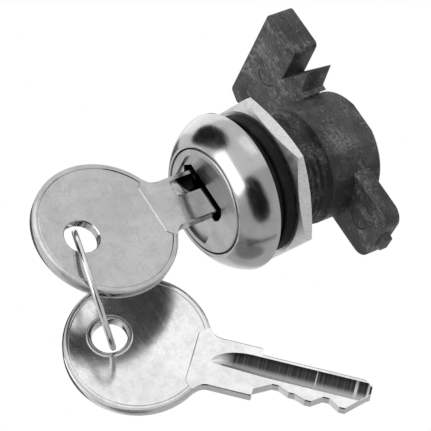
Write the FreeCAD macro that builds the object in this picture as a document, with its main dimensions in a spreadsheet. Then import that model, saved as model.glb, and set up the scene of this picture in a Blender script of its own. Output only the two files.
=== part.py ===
import FreeCAD, Part
import math
import os
import Sketcher

# Drawer lock. Lengths are millimetres, angles are degrees.
# The lock's axis runs along Y: the key enters from -Y and the case sits behind the panel at +Y.
# Z points to the hook's end of the bolt, X to the right when the lock is seen from the front.
# The origin is on the axis, in the plane where the flange meets the panel's face.

os.makedirs("parts", exist_ok=True)
doc = FreeCAD.newDocument("DrawerLock")

SIZES = {
    # Cylinder body: flange, threaded neck with one flat, and the spigot behind it
    "neck_radius": 9.525,
    "neck_end": 13.6,
    "neck_flat_depth": 0.8,
    "flange_reach": 2.675,
    "flange_front": -2.4,
    "spigot_end": 16.6,
    "bore_play": 0.05,
    # Bezel: domed trim pressed over the flange
    "bezel_lap": 1.3,
    "bezel_rim": 0.6,
    "bezel_front": -5.6,
    "bezel_lip": 0.5,
    "bezel_dome": 9.5,
    # Gasket, spacer and nut on the neck
    "gasket_width": 1.975,
    "gasket_end": 2.3,
    "spacer_width": 2.375,
    "spacer_end": 4.4,
    "nut_wall": 3.175,
    "nut_end": 6.9,
    "nut_turn": 41.0,
    "ring_play": 0.06,
    # Bolt case: the drum behind the neck, with its slot for the bolt
    "case_radius": 10.2,
    "case_end": 24.4,
    "case_flat_depth": 1.0,
    "case_front_edge": 0.25,
    "case_rear_edge": 0.6,
    "spigot_share": 0.4667,
    "pocket_share": 0.4933,
    "chamber_share": 0.2,
    "slot_play": 0.1,
    # Case pin: holds the case on the spigot
    "pin_radius": 0.75,
    "pin_cover": 0.8,
    "pin_share": 0.15,
    "pin_place": 15.1,
    # Plug: turning core with the face disc and the keyway
    "plug_share": 0.672,
    "plug_face_radius": 9.0,
    "plug_face_play": 0.15,
    "plug_face_gap": 0.05,
    "cam_gap": 0.1,
    "face_recess_edge": 1.1,
    "face_recess": 0.8,
    "mouth_top_inset": 0.5,
    "mouth_bottom": -4.4,
    "mouth_depth": 2.0,
    "mouth_point": 1.2,
    "key_play": 0.2,
    "side_play": 0.3,
    "ward_half": 0.85,
    # Wafers: five flat plates in slots across the plug, each with a spring on its ear
    "wafer_thick": 0.6,
    "wafer_share": 0.5,
    "wafer_inset": 0.05,
    "wafer_first": -1.2,
    "wafer_pitch": 2.8,
    "wafer_play": 0.05,
    "ear_share": 0.234,
    "ear_low": -1.8,
    "ear_high": -0.95,
    "spring_radius": 0.42,
    "spring_wire": 0.08,
    "spring_play": 0.1,
    "spring_turns": 5,
    # Drive cam: disc behind the plug with the stop lug and the crank pin
    "cam_thick": 1.0,
    "lug_half_angle": 20.0,
    "turn_angle": 90.0,
    "stop_play": 1.5,
    "crank_radius": 4.2,
    "crank_pin": 1.2,
    "crank_tip_gap": 0.3,
    # Cam screw: countersunk, head flush in the cam
    "screw_radius": 1.5,
    "screw_head": 2.6,
    "screw_head_deep": 0.85,
    "screw_grip": 2.0,
    # Bolt: body, hook and tongue in one casting. Heights are counted from the case's wall
    "bolt_left": -5.3,
    "bolt_right": 6.6,
    "bolt_front": 18.1,
    "bolt_thick": 3.4,
    "hook_thick": 4.9,
    "tongue_reach": 8.1,
    "tongue_round": 2.6,
    "nub_left": -1.5,
    "nub_right": 2.4,
    "nub_high": 1.1,
    "nub_inset": 0.9,
    "nub_thick": 1.6,
    "hook_clear": 0.1,
    "hook_reach": 12.3,
    "hook_right": 12.5,
    "mouth_upper": 3.8,
    "mouth_root_right": 5.3,
    "mouth_root_up": 3.4,
    "tooth_tip_right": 12.3,
    "tooth_tip_up": -0.5,
    "tooth_heel_right": 7.3,
    "tooth_heel_up": -1.2,
    "tooth_foot_up": -2.3,
    "hook_back_left": -8.4,
    "hook_back_drop": 0.7,
    "hook_heel_left": -9.5,
    "hook_heel_up": 9.0,
    "hook_shoulder_up": 5.4,
    "hook_edge": 0.9,
    "crank_slot_left": 1.4,
    "crank_slot_right": 5.75,
    "crank_play": 0.25,
    # Keys: round bow, shank, bitted blade
    "key_thick": 2.0,
    "key_mid": 1.5,
    "bow_radius": 12.2,
    "bow_hole_radius": 2.95,
    "hole_place": -29.25,
    "hole_inset": 7.5,
    "bow_fillet": 2.5,
    "shank_half": 4.4,
    "shoulder_place": -4.55,
    "blade_half": 3.25,
    "blade_end": 13.95,
    "blade_end_play": 0.25,
    "cut_flat": 0.5,
    "groove_start": -10.6,
    "groove_full": -8.2,
    "groove_inset": 0.2,
    "groove_width": 2.6,
    "groove_depth": 0.5,
    # The hole of the spare key's bow, and the key ring
    "spare_across": -12.884,
    "spare_along": -27.011,
    "spare_up": -11.076,
    "ring_wire": 0.53,
    "ring_radius": 9.754,
    "ring_across": -6.345,
    "ring_along": -28.416,
    "ring_up": -4.812,
}

sheet = doc.addObject("Spreadsheet::Sheet", "sizes")
for row, (alias, number) in enumerate(SIZES.items(), start=1):
    sheet.set("A" + str(row), alias)
    sheet.set("B" + str(row), str(number))
    sheet.setAlias("B" + str(row), alias)
doc.recompute()


class Length:
    """A number together with the spreadsheet formula that gives it."""

    def __init__(self, text, value):
        self.text = text
        self.value = value

    def join(self, other, sign, value_of):
        other = as_length(other)
        return Length("(" + self.text + " " + sign + " " + other.text + ")", value_of(self.value, other.value))

    def __add__(self, other):
        return self.join(other, "+", lambda a, b: a + b)

    def __sub__(self, other):
        return self.join(other, "-", lambda a, b: a - b)

    def __mul__(self, other):
        return self.join(other, "*", lambda a, b: a * b)

    def __truediv__(self, other):
        return self.join(other, "/", lambda a, b: a / b)

    def __neg__(self):
        return Length("(0 - " + self.text + ")", -self.value)


class Sizes:
    """Gives each size of the spreadsheet by its alias."""

    def __getattr__(self, alias):
        return Length("sizes." + alias, float(SIZES[alias]))


size = Sizes()


def as_length(thing):
    if isinstance(thing, Length):
        return thing
    return Length(repr(float(thing)), float(thing))


def root(thing):
    return Length("sqrt(" + thing.text + ")", math.sqrt(thing.value))


def cosine(thing):
    return Length("cos(" + thing.text + " * 1 deg)", math.cos(math.radians(thing.value)))


def sine(thing):
    return Length("sin(" + thing.text + " * 1 deg)", math.sin(math.radians(thing.value)))


# Lengths that follow from the sizes above
plug_radius = size.neck_radius * size.plug_share
bore_radius = plug_radius + size.bore_play
flange_radius = size.neck_radius + size.flange_reach
neck_flat = size.neck_radius - size.neck_flat_depth
bezel_radius = flange_radius + size.bezel_lap
bezel_opening = size.plug_face_radius + size.plug_face_play
case_wall = size.case_radius - bore_radius
spigot_radius = bore_radius + case_wall * size.spigot_share
pocket_radius = bore_radius + case_wall * size.pocket_share
chamber_radius = bore_radius + case_wall * size.chamber_share
case_flat = size.case_radius - size.case_flat_depth
pin_start = bore_radius + case_wall * size.pin_share
pin_end = size.case_radius - size.pin_cover
plug_end = size.spigot_end + size.cam_gap
cam_end = plug_end + size.cam_thick
cam_radius = chamber_radius - size.cam_gap
lug_radius = pocket_radius - size.cam_gap
slot_front = size.bolt_front - size.slot_play
slot_rear = size.bolt_front + size.bolt_thick + size.slot_play
crank_end = size.bolt_front + size.bolt_thick - size.crank_tip_gap
screw_tip = plug_end - size.screw_grip
recess_radius = size.plug_face_radius - size.face_recess_edge
mouth_top = recess_radius - size.mouth_top_inset
keyway_half = size.key_thick / 2 + size.side_play
blade_top = size.key_mid + size.blade_half
blade_bottom = size.key_mid - size.blade_half
keyway_top = blade_top + size.key_play
keyway_bottom = blade_bottom - size.key_play
keyway_end = size.blade_end + size.blade_end_play
groove_top = blade_top - size.groove_inset
groove_bottom = groove_top - size.groove_width
bow_place = size.hole_place + size.bow_radius - size.hole_inset
groove_middle = (groove_top + groove_bottom) / 2
ward_reach = size.key_thick / 2 - size.groove_depth + size.key_play
wafer_half = plug_radius * size.wafer_share
ear_reach = plug_radius * size.ear_share
spring_top = wafer_half
wafer_radius = plug_radius - size.wafer_inset
spring_across = wafer_half + ear_reach / 2 + size.spring_play
tongue_end = -(size.case_radius + size.tongue_reach)
hook_start = size.case_radius + size.hook_clear
hook_top = size.case_radius + size.hook_reach


def new_body(label):
    body = doc.addObject("PartDesign::Body", "body_" + label)
    body.Label = label
    body.Placement = FreeCAD.Placement()
    return body


def new_sketch(body, name, plane, offset=None):
    """A sketch on one of the body's own planes. An offset moves it along the plane's normal."""
    sketch = body.newObject("Sketcher::SketchObject", name)
    home = [item for item in body.Origin.OriginFeatures if item.Role == plane][0]
    sketch.AttachmentSupport = (home, [""])
    sketch.MapMode = "FlatFace"
    if offset is not None:
        sketch.setExpression("AttachmentOffset.Base.z", offset.text)
    return sketch


def front_sketch(body, name, place):
    """A sketch seen from the front, across is X and up is Z, standing at Y = place."""
    return new_sketch(body, name, "XZ_Plane", -as_length(place))


def bind(sketch, kind, where, amount):
    """One bound distance from the sketch's origin, or a point on the axis when it is zero."""
    geometry, end = where
    if abs(amount.value) < 1e-9:
        axis = -2 if kind == "DistanceX" else -1
        sketch.addConstraint(Sketcher.Constraint("PointOnObject", geometry, end, axis))
        return
    index = sketch.addConstraint(Sketcher.Constraint(kind, -1, 1, geometry, end, amount.value))
    sketch.setExpression("Constraints[" + str(index) + "]", amount.text)


def draw_outline(sketch, corners):
    """A closed outline. A corner is (across, up) or (across, up, radius, turn): the side that
    leaves it is then an arc of that radius, whose turn is left or right."""
    points = [(as_length(corner[0]), as_length(corner[1])) for corner in corners]
    sides = []
    for number, corner in enumerate(corners):
        here = points[number]
        there = points[(number + 1) % len(points)]
        start = FreeCAD.Vector(here[0].value, here[1].value, 0)
        stop = FreeCAD.Vector(there[0].value, there[1].value, 0)
        if len(corner) == 2:
            side = sketch.addGeometry(Part.LineSegment(start, stop), False)
            sides.append((side, 1, 2))
            continue
        radius = as_length(corner[2])
        left = corner[3] == "left"
        chord = stop - start
        aside = FreeCAD.Vector(-chord.y, chord.x, 0).normalize()
        away = math.sqrt(max(radius.value ** 2 - (chord.Length / 2) ** 2, 0.0))
        centre = (start + stop) * 0.5 + aside * (away if left else -away)
        first, last = (start, stop) if left else (stop, start)
        low = math.atan2(first.y - centre.y, first.x - centre.x)
        high = math.atan2(last.y - centre.y, last.x - centre.x)
        if high < low:
            high += 2 * math.pi
        circle = Part.Circle(centre, FreeCAD.Vector(0, 0, 1), radius.value)
        side = sketch.addGeometry(Part.ArcOfCircle(circle, low, high), False)
        index = sketch.addConstraint(Sketcher.Constraint("Radius", side, radius.value))
        sketch.setExpression("Constraints[" + str(index) + "]", radius.text)
        sides.append((side, 1, 2) if left else (side, 2, 1))
    for number, (side, begins, ends) in enumerate(sides):
        following, next_begins, _ = sides[(number + 1) % len(sides)]
        sketch.addConstraint(Sketcher.Constraint("Coincident", side, ends, following, next_begins))
        bind(sketch, "DistanceX", (side, begins), points[number][0])
        bind(sketch, "DistanceY", (side, begins), points[number][1])


def draw_circle(sketch, across, up, radius):
    across, up, radius = as_length(across), as_length(up), as_length(radius)
    centre = FreeCAD.Vector(across.value, up.value, 0)
    side = sketch.addGeometry(Part.Circle(centre, FreeCAD.Vector(0, 0, 1), radius.value), False)
    index = sketch.addConstraint(Sketcher.Constraint("Radius", side, radius.value))
    sketch.setExpression("Constraints[" + str(index) + "]", radius.text)
    bind(sketch, "DistanceX", (side, 3), across)
    bind(sketch, "DistanceY", (side, 3), up)


def turned(body, name, profile):
    """Turn a profile of (radius, y) corners about the lock's axis."""
    sketch = new_sketch(body, name + "_profile", "XY_Plane")
    draw_outline(sketch, profile)
    doc.recompute()
    solid = body.newObject("PartDesign::Revolution", name)
    solid.Profile = sketch
    solid.ReferenceAxis = (sketch, ["V_Axis"])
    solid.Angle = 360.0
    doc.recompute()
    return solid


def padded(body, name, sketch, length, backward=True):
    doc.recompute()
    solid = body.newObject("PartDesign::Pad", name)
    solid.Profile = sketch
    solid.Reversed = backward
    solid.setExpression("Length", as_length(length).text)
    doc.recompute()
    return solid


def pocketed(body, name, sketch, length, backward=False, symmetric=False):
    doc.recompute()
    cut = body.newObject("PartDesign::Pocket", name)
    cut.Profile = sketch
    cut.Reversed = backward
    if symmetric:
        cut.SideType = "Symmetric"
    cut.setExpression("Length", as_length(length).text)
    doc.recompute()
    return cut


def straight_edges(solid, places, direction):
    """Names of the straight edges along a direction whose middle is at one of the places."""
    names = []
    for number, edge in enumerate(solid.Shape.Edges, start=1):
        if not isinstance(edge.Curve, Part.Line):
            continue
        if abs(abs(edge.tangentAt(edge.FirstParameter).dot(direction)) - 1) > 1e-6:
            continue
        middle = edge.CenterOfMass
        for across, up in places:
            if math.hypot(middle.x - across, middle.z - up) < 0.02:
                names.append("Edge" + str(number))
    return names


def rounded(body, name, solid, places, radius):
    """Round the edges along Y that stand at the given (x, z) places."""
    fillet = body.newObject("PartDesign::Fillet", name)
    corners = [(across.value, up.value) for across, up in places]
    fillet.Base = (solid, straight_edges(solid, corners, FreeCAD.Vector(0, 1, 0)))
    fillet.setExpression("Radius", as_length(radius).text)
    doc.recompute()
    return fillet


# Cylinder body
cylinder = new_body("cylinder_body")
turned(cylinder, "cylinder_turned", [
    (bore_radius, size.flange_front),
    (flange_radius, size.flange_front),
    (flange_radius, 0),
    (size.neck_radius, 0),
    (size.neck_radius, size.neck_end),
    (spigot_radius, size.neck_end),
    (spigot_radius, size.spigot_end),
    (bore_radius, size.spigot_end),
])
flat_sketch = front_sketch(cylinder, "neck_flat_sketch", 0)
draw_outline(flat_sketch, [
    (neck_flat, -size.neck_radius),
    (size.neck_radius + 1, -size.neck_radius),
    (size.neck_radius + 1, size.neck_radius),
    (neck_flat, size.neck_radius),
])
pocketed(cylinder, "neck_flat_cut", flat_sketch, size.neck_end)
pin_sketch = new_sketch(cylinder, "spigot_pin_sketch", "YZ_Plane", -pin_end)
draw_circle(pin_sketch, size.pin_place, 0, size.pin_radius)
pocketed(cylinder, "spigot_pin_hole", pin_sketch, pin_end - pin_start, backward=True)

# Bezel
bezel = new_body("bezel")
turned(bezel, "bezel_turned", [
    (bezel_opening, size.flange_front),
    (bezel_opening, size.bezel_front),
    (bezel_opening + size.bezel_lip, size.bezel_front, size.bezel_dome, "left"),
    (bezel_radius, -size.bezel_rim),
    (bezel_radius, 0),
    (flange_radius, 0),
    (flange_radius, size.flange_front),
])

# Gasket and spacer
for label, radius, start, stop in (
    ("gasket", size.neck_radius + size.gasket_width, as_length(0), size.gasket_end),
    ("spacer_washer", size.neck_radius + size.spacer_width, size.gasket_end, size.spacer_end),
):
    band = new_body(label)
    band_sketch = front_sketch(band, label + "_sketch", start)
    draw_circle(band_sketch, 0, 0, radius)
    draw_circle(band_sketch, 0, 0, size.neck_radius + size.ring_play)
    padded(band, label + "_pad", band_sketch, stop - start)

# Mounting nut
nut = new_body("mounting_nut")
nut_sketch = front_sketch(nut, "nut_sketch", size.spacer_end)
nut_corner = (size.neck_radius + size.nut_wall) / cosine(as_length(30))
draw_outline(nut_sketch, [
    (nut_corner * cosine(size.nut_turn + 60 * step), nut_corner * sine(size.nut_turn + 60 * step))
    for step in range(6)
])
draw_circle(nut_sketch, 0, 0, size.neck_radius + size.ring_play)
padded(nut, "nut_pad", nut_sketch, size.nut_end - size.spacer_end)

# Bolt case
case = new_body("bolt_case")
turned(case, "case_turned", [
    (0, slot_front),
    (chamber_radius, slot_front),
    (chamber_radius, size.spigot_end),
    (spigot_radius, size.spigot_end),
    (spigot_radius, size.neck_end),
    (size.case_radius - size.case_front_edge, size.neck_end),
    (size.case_radius, size.neck_end + size.case_front_edge),
    (size.case_radius, size.case_end - size.case_rear_edge),
    (size.case_radius - size.case_rear_edge, size.case_end),
    (0, size.case_end),
])
slot_sketch = front_sketch(case, "bolt_slot_sketch", slot_front)
draw_outline(slot_sketch, [
    (size.bolt_left - size.slot_play, -size.case_radius - 1),
    (size.bolt_right + size.slot_play, -size.case_radius - 1),
    (size.bolt_right + size.slot_play, size.case_radius + 1),
    (size.bolt_left - size.slot_play, size.case_radius + 1),
])
pocketed(case, "bolt_slot", slot_sketch, slot_rear - slot_front)
stop_sketch = front_sketch(case, "stop_pocket_sketch", size.spigot_end)
stop_half = size.turn_angle / 2 + size.lug_half_angle + size.stop_play
draw_outline(stop_sketch, [
    (-(pocket_radius * cosine(stop_half)), -(pocket_radius * sine(stop_half))),
    (-(chamber_radius * cosine(stop_half) * 0.9), -(chamber_radius * sine(stop_half) * 0.9)),
    (-(chamber_radius * cosine(stop_half) * 0.9), chamber_radius * sine(stop_half) * 0.9),
    (-(pocket_radius * cosine(stop_half)), pocket_radius * sine(stop_half),
     pocket_radius, "left"),
])
pocketed(case, "stop_pocket", stop_sketch, slot_front - size.spigot_end)
case_flat_sketch = front_sketch(case, "case_flat_sketch", size.neck_end)
draw_outline(case_flat_sketch, [
    (case_flat, -size.case_radius),
    (size.case_radius + 1, -size.case_radius),
    (size.case_radius + 1, size.case_radius),
    (case_flat, size.case_radius),
])
pocketed(case, "case_flat_cut", case_flat_sketch, size.case_end - size.neck_end)
case_pin_sketch = new_sketch(case, "case_pin_sketch", "YZ_Plane", -pin_end)
draw_circle(case_pin_sketch, size.pin_place, 0, size.pin_radius)
pocketed(case, "case_pin_hole", case_pin_sketch, pin_end - pin_start, backward=True)

# Case pin
case_pin = doc.addObject("Part::Cylinder", "case_pin_rod")
case_pin.Label = "case_pin"
case_pin.setExpression("Radius", size.pin_radius.text)
case_pin.setExpression("Height", (pin_end - pin_start).text)
case_pin.Placement = FreeCAD.Placement(
    FreeCAD.Vector(0, 0, 0), FreeCAD.Rotation(FreeCAD.Vector(0, 1, 0), 90))
case_pin.setExpression("Placement.Base.x", (-pin_end).text)
case_pin.setExpression("Placement.Base.y", size.pin_place.text)

# Plug
plug = new_body("plug")
turned(plug, "plug_turned", [
    (0, size.bezel_front),
    (size.plug_face_radius, size.bezel_front),
    (size.plug_face_radius, size.flange_front - size.plug_face_gap),
    (plug_radius, size.flange_front - size.plug_face_gap),
    (plug_radius, plug_end),
    (0, plug_end),
])
recess_low = root(recess_radius * recess_radius - size.mouth_bottom * size.mouth_bottom)
recess_high = root(recess_radius * recess_radius - mouth_top * mouth_top)
recess_sketch = front_sketch(plug, "face_recess_sketch", size.bezel_front)
draw_outline(recess_sketch, [
    (-recess_low, size.mouth_bottom),
    (recess_low, size.mouth_bottom, recess_radius, "left"),
    (recess_high, mouth_top),
    (-recess_high, mouth_top, recess_radius, "left"),
])
pocketed(plug, "face_recess", recess_sketch, size.face_recess)
mouth_sketch = front_sketch(plug, "key_mouth_sketch", size.bezel_front)
draw_outline(mouth_sketch, [
    (0, mouth_top),
    (-keyway_half, mouth_top - size.mouth_point),
    (-keyway_half, size.mouth_bottom + size.mouth_point),
    (0, size.mouth_bottom),
    (keyway_half, size.mouth_bottom + size.mouth_point),
    (keyway_half, mouth_top - size.mouth_point),
])
pocketed(plug, "key_mouth", mouth_sketch, size.mouth_depth)
keyway_sketch = front_sketch(plug, "keyway_sketch", size.bezel_front)
draw_outline(keyway_sketch, [
    (-keyway_half, keyway_bottom),
    (keyway_half, keyway_bottom),
    (keyway_half, groove_middle - size.ward_half),
    (ward_reach, groove_middle - size.ward_half + size.key_play),
    (ward_reach, groove_middle + size.ward_half - size.key_play),
    (keyway_half, groove_middle + size.ward_half),
    (keyway_half, keyway_top),
    (-keyway_half, keyway_top),
])
pocketed(plug, "keyway", keyway_sketch, keyway_end - size.bezel_front)
for number in range(5):
    middle = size.wafer_first + size.wafer_pitch * number
    slot = "wafer_slot_" + str(number + 1)
    slot_sketch = front_sketch(plug, slot + "_sketch", middle - size.wafer_thick / 2 - size.wafer_play)
    half = wafer_half + size.wafer_play
    beyond = plug_radius + 0.3
    draw_outline(slot_sketch, [
        (-half, -beyond),
        (half, -beyond),
        (half, size.ear_low - size.key_play),
        (wafer_half + ear_reach + size.spring_play, size.ear_low - size.key_play),
        (wafer_half + ear_reach + size.spring_play, spring_top),
        (half, spring_top),
        (half, beyond),
        (-half, beyond),
    ])
    pocketed(plug, slot, slot_sketch, size.wafer_thick + size.wafer_play * 2)
    well = "spring_well_" + str(number + 1)
    well_sketch = new_sketch(plug, well + "_sketch", "XY_Plane", size.ear_high)
    draw_circle(well_sketch, spring_across, middle, size.spring_radius + size.spring_wire + size.spring_play)
    pocketed(plug, well, well_sketch, spring_top - size.ear_high, backward=True)
screw_hole_sketch = front_sketch(plug, "screw_hole_sketch", screw_tip)
draw_circle(screw_hole_sketch, 0, 0, size.screw_radius)
pocketed(plug, "screw_hole", screw_hole_sketch, plug_end - screw_tip + 0.2)

# Wafers, each with an ear that its spring pushes down
for number in range(5):
    label = "wafer_" + str(number + 1)
    wafer = new_body(label)
    middle = size.wafer_first + size.wafer_pitch * number
    wafer_sketch = front_sketch(wafer, label + "_sketch", middle - size.wafer_thick / 2)
    reach = root(wafer_radius * wafer_radius - wafer_half * wafer_half)
    draw_outline(wafer_sketch, [
        (-wafer_half, -reach, wafer_radius, "left"),
        (wafer_half, -reach),
        (wafer_half, size.ear_low),
        (wafer_half + ear_reach, size.ear_low),
        (wafer_half + ear_reach, size.ear_high),
        (wafer_half, size.ear_high),
        (wafer_half, reach, wafer_radius, "left"),
        (-wafer_half, reach),
    ])
    draw_outline(wafer_sketch, [
        (-keyway_half, keyway_bottom),
        (keyway_half, keyway_bottom),
        (keyway_half, keyway_top),
        (-keyway_half, keyway_top),
    ])
    padded(wafer, label + "_pad", wafer_sketch, size.wafer_thick)

# Wafer springs: small coils between the ears and the tops of the wells
for number in range(5):
    label = "wafer_spring_" + str(number + 1)
    spring = new_body(label)
    middle = size.wafer_first + size.wafer_pitch * number
    coil_sketch = front_sketch(spring, label + "_sketch", middle)
    coil_sketch.setExpression("AttachmentOffset.Base.x", spring_across.text)
    draw_circle(coil_sketch, size.spring_radius, size.ear_high + size.spring_wire, size.spring_wire)
    doc.recompute()
    coil = spring.newObject("PartDesign::AdditiveHelix", label + "_coil")
    coil.Profile = coil_sketch
    coil.ReferenceAxis = (coil_sketch, ["V_Axis"])
    coil.Mode = "height-turns-angle"
    coil.setExpression("Height", (spring_top - size.ear_high - size.spring_wire * 2).text)
    coil.setExpression("Turns", size.spring_turns.text)
    coil.Angle = 0.0
    doc.recompute()

# Drive cam
cam = new_body("drive_cam")
cam_sketch = front_sketch(cam, "cam_disc_sketch", plug_end)
draw_circle(cam_sketch, 0, 0, cam_radius)
padded(cam, "cam_disc", cam_sketch, cam_end - plug_end)
lug_sketch = front_sketch(cam, "stop_lug_sketch", plug_end)
lug_low = as_length(180) - size.turn_angle / 2 - size.lug_half_angle
lug_high = as_length(180) - size.turn_angle / 2 + size.lug_half_angle
draw_outline(lug_sketch, [
    (cam_radius * cosine(lug_high) * 0.8, cam_radius * sine(lug_high) * 0.8),
    (cam_radius * cosine(lug_low) * 0.8, cam_radius * sine(lug_low) * 0.8),
    (lug_radius * cosine(lug_low), lug_radius * sine(lug_low), lug_radius, "left"),
    (lug_radius * cosine(lug_high), lug_radius * sine(lug_high)),
])
padded(cam, "stop_lug", lug_sketch, cam_end - plug_end)
crank_sketch = front_sketch(cam, "crank_pin_sketch", plug_end)
crank_across = size.crank_radius * cosine(size.turn_angle / 2)
crank_up = -(size.crank_radius * sine(size.turn_angle / 2))
draw_circle(crank_sketch, crank_across, crank_up, size.crank_pin)
padded(cam, "crank_pin", crank_sketch, crank_end - plug_end)
cam_hole_sketch = new_sketch(cam, "cam_hole_profile", "XY_Plane")
draw_outline(cam_hole_sketch, [
    (0, plug_end - 0.5),
    (size.screw_radius, plug_end - 0.5),
    (size.screw_radius, cam_end - size.screw_head_deep),
    (size.screw_head, cam_end),
    (0, cam_end),
])
doc.recompute()
cam_hole = cam.newObject("PartDesign::Groove", "cam_hole")
cam_hole.Profile = cam_hole_sketch
cam_hole.ReferenceAxis = (cam_hole_sketch, ["V_Axis"])
cam_hole.Angle = 360.0
doc.recompute()

# Cam screw
screw = new_body("cam_screw")
turned(screw, "screw_turned", [
    (0, screw_tip),
    (size.screw_radius, screw_tip),
    (size.screw_radius, cam_end - size.screw_head_deep),
    (size.screw_head, cam_end),
    (0, cam_end),
])

# Bolt with hook and tongue
bolt = new_body("hook_bolt")
hook_back = [
    (size.hook_right, size.case_radius + size.mouth_upper),
    (size.hook_right, hook_top),
    (size.hook_back_left, hook_top - size.hook_back_drop),
    (size.hook_heel_left, size.case_radius + size.hook_heel_up),
    (size.bolt_left, size.case_radius + size.hook_shoulder_up),
]
tooth = [
    (size.tooth_heel_right, size.case_radius + size.tooth_foot_up),
    (size.tooth_heel_right, size.case_radius + size.tooth_heel_up),
    (size.tooth_tip_right, size.case_radius + size.tooth_tip_up),
    (size.mouth_root_right, size.case_radius + size.mouth_root_up),
]
bolt_sketch = front_sketch(bolt, "bolt_sketch", size.bolt_front)
draw_outline(bolt_sketch, [
    (size.bolt_left, tongue_end),
    (size.bolt_right, tongue_end),
    (size.bolt_right, size.case_radius + size.tooth_foot_up),
] + tooth + hook_back)
padded(bolt, "bolt_pad", bolt_sketch, size.bolt_thick)
hook_sketch = front_sketch(bolt, "hook_sketch", size.bolt_front)
draw_outline(hook_sketch, [
    (size.bolt_left, hook_start),
    (size.bolt_right, hook_start),
] + tooth + hook_back)
padded(bolt, "hook_pad", hook_sketch, size.hook_thick)
crank_slot_sketch = front_sketch(bolt, "crank_slot_sketch", size.bolt_front)
slot_half = size.crank_pin + size.crank_play
draw_outline(crank_slot_sketch, [
    (size.crank_slot_left, crank_up - slot_half),
    (size.crank_slot_right, crank_up - slot_half),
    (size.crank_slot_right, crank_up + slot_half),
    (size.crank_slot_left, crank_up + slot_half),
])
pocketed(bolt, "crank_slot", crank_slot_sketch, size.bolt_thick)
nub_sketch = front_sketch(bolt, "nub_sketch", size.bolt_front + size.nub_inset)
draw_outline(nub_sketch, [
    (size.nub_left, tongue_end + 0.5),
    (size.nub_left + size.nub_high / 2, tongue_end - size.nub_high),
    (size.nub_right - size.nub_high / 2, tongue_end - size.nub_high),
    (size.nub_right, tongue_end + 0.5),
])
nub_pad = padded(bolt, "nub_pad", nub_sketch, size.nub_thick)
tongue_rounds = rounded(bolt, "tongue_rounds", nub_pad, [
    (size.bolt_left, tongue_end),
    (size.bolt_right, tongue_end),
], size.tongue_round)
rounded(bolt, "hook_rounds", tongue_rounds, [hook_back[index] for index in range(4)], size.hook_edge)


# Keys. The cuts are counted up from the blade's lower edge, one over each wafer
CUT_DEPTHS = [1.65, 0.9, 0.3, 1.6, 0.5]


def make_key(label):
    """A flat key with a round bow, lying in the plane X = 0 with its blade along +Y."""
    key = new_body(label)
    half = size.key_thick / 2
    shank_top = size.key_mid + size.shank_half
    shank_bottom = size.key_mid - size.shank_half
    bow_sketch = new_sketch(key, label + "_bow_sketch", "YZ_Plane", -half)
    draw_circle(bow_sketch, bow_place, size.key_mid, size.bow_radius)
    padded(key, label + "_bow", bow_sketch, size.key_thick, backward=False)
    blade_sketch = new_sketch(key, label + "_blade_sketch", "YZ_Plane", -half)
    bitting = []
    for number, depth in enumerate(CUT_DEPTHS):
        place = size.wafer_first + size.wafer_pitch * number
        bitting.append((place - size.cut_flat, blade_bottom + depth))
        bitting.append((place + size.cut_flat, blade_bottom + depth))
    draw_outline(blade_sketch, [
        (bow_place, shank_bottom),
        (size.shoulder_place, shank_bottom),
        (size.shoulder_place, blade_bottom),
    ] + bitting + [
        (size.blade_end - 1.6, blade_bottom + size.blade_half * 0.75),
        (size.blade_end, blade_bottom + size.blade_half * 1.25),
        (size.blade_end, blade_top - size.blade_half * 0.3),
        (size.blade_end - 1.3, blade_top),
        (size.shoulder_place, blade_top),
        (size.shoulder_place, shank_top),
        (bow_place, shank_top),
    ])
    blade_pad = padded(key, label + "_blade", blade_sketch, size.key_thick, backward=False)
    neck = bow_place + root(size.bow_radius * size.bow_radius - size.shank_half * size.shank_half)
    corners = [
        "Edge" + str(number) for number, edge in enumerate(blade_pad.Shape.Edges, start=1)
        if abs(edge.CenterOfMass.x) < 0.01 and abs(edge.CenterOfMass.y - neck.value) < 0.02
        and abs(abs(edge.CenterOfMass.z - size.key_mid.value) - size.shank_half.value) < 0.02
    ]
    fillet = key.newObject("PartDesign::Fillet", label + "_neck_fillet")
    fillet.Base = (blade_pad, corners)
    fillet.setExpression("Radius", size.bow_fillet.text)
    doc.recompute()
    hole_sketch = new_sketch(key, label + "_hole_sketch", "YZ_Plane", -half)
    draw_circle(hole_sketch, size.hole_place, size.key_mid, size.bow_hole_radius)
    pocketed(key, label + "_hole", hole_sketch, size.key_thick, backward=True)
    groove_sketch = new_sketch(key, label + "_groove_sketch", "YZ_Plane", half - size.groove_depth)
    draw_outline(groove_sketch, [
        (size.groove_start, groove_middle),
        (size.groove_full, groove_bottom),
        (size.blade_end + 1, groove_bottom),
        (size.blade_end + 1, groove_top),
        (size.groove_full, groove_top),
    ])
    pocketed(key, label + "_groove", groove_sketch, size.groove_depth, backward=True)
    return key


make_key("key")
spare = make_key("spare_key")

# The spare key hangs on the ring: its own X, Y and Z axes point along these directions
spare_normal = FreeCAD.Vector(0.956, -0.282, 0.081)
spare_blade = FreeCAD.Vector(0.252, 0.647, -0.720)
spare_edge = FreeCAD.Vector(0.151, 0.708, 0.690)
spare_turn = FreeCAD.Rotation(spare_normal, spare_blade, spare_edge, "YXZ")
along = spare_turn.multVec(FreeCAD.Vector(0, 1, 0))
up = spare_turn.multVec(FreeCAD.Vector(0, 0, 1))
spare.Placement = FreeCAD.Placement(FreeCAD.Vector(0, 0, 0), spare_turn)
for axis, place, part_along, part_up in (
    ("x", size.spare_across, along.x, up.x),
    ("y", size.spare_along, along.y, up.y),
    ("z", size.spare_up, along.z, up.z),
):
    shift = place - size.hole_place * part_along - size.key_mid * part_up
    spare.setExpression("Placement.Base." + axis, shift.text)
doc.recompute()

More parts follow.
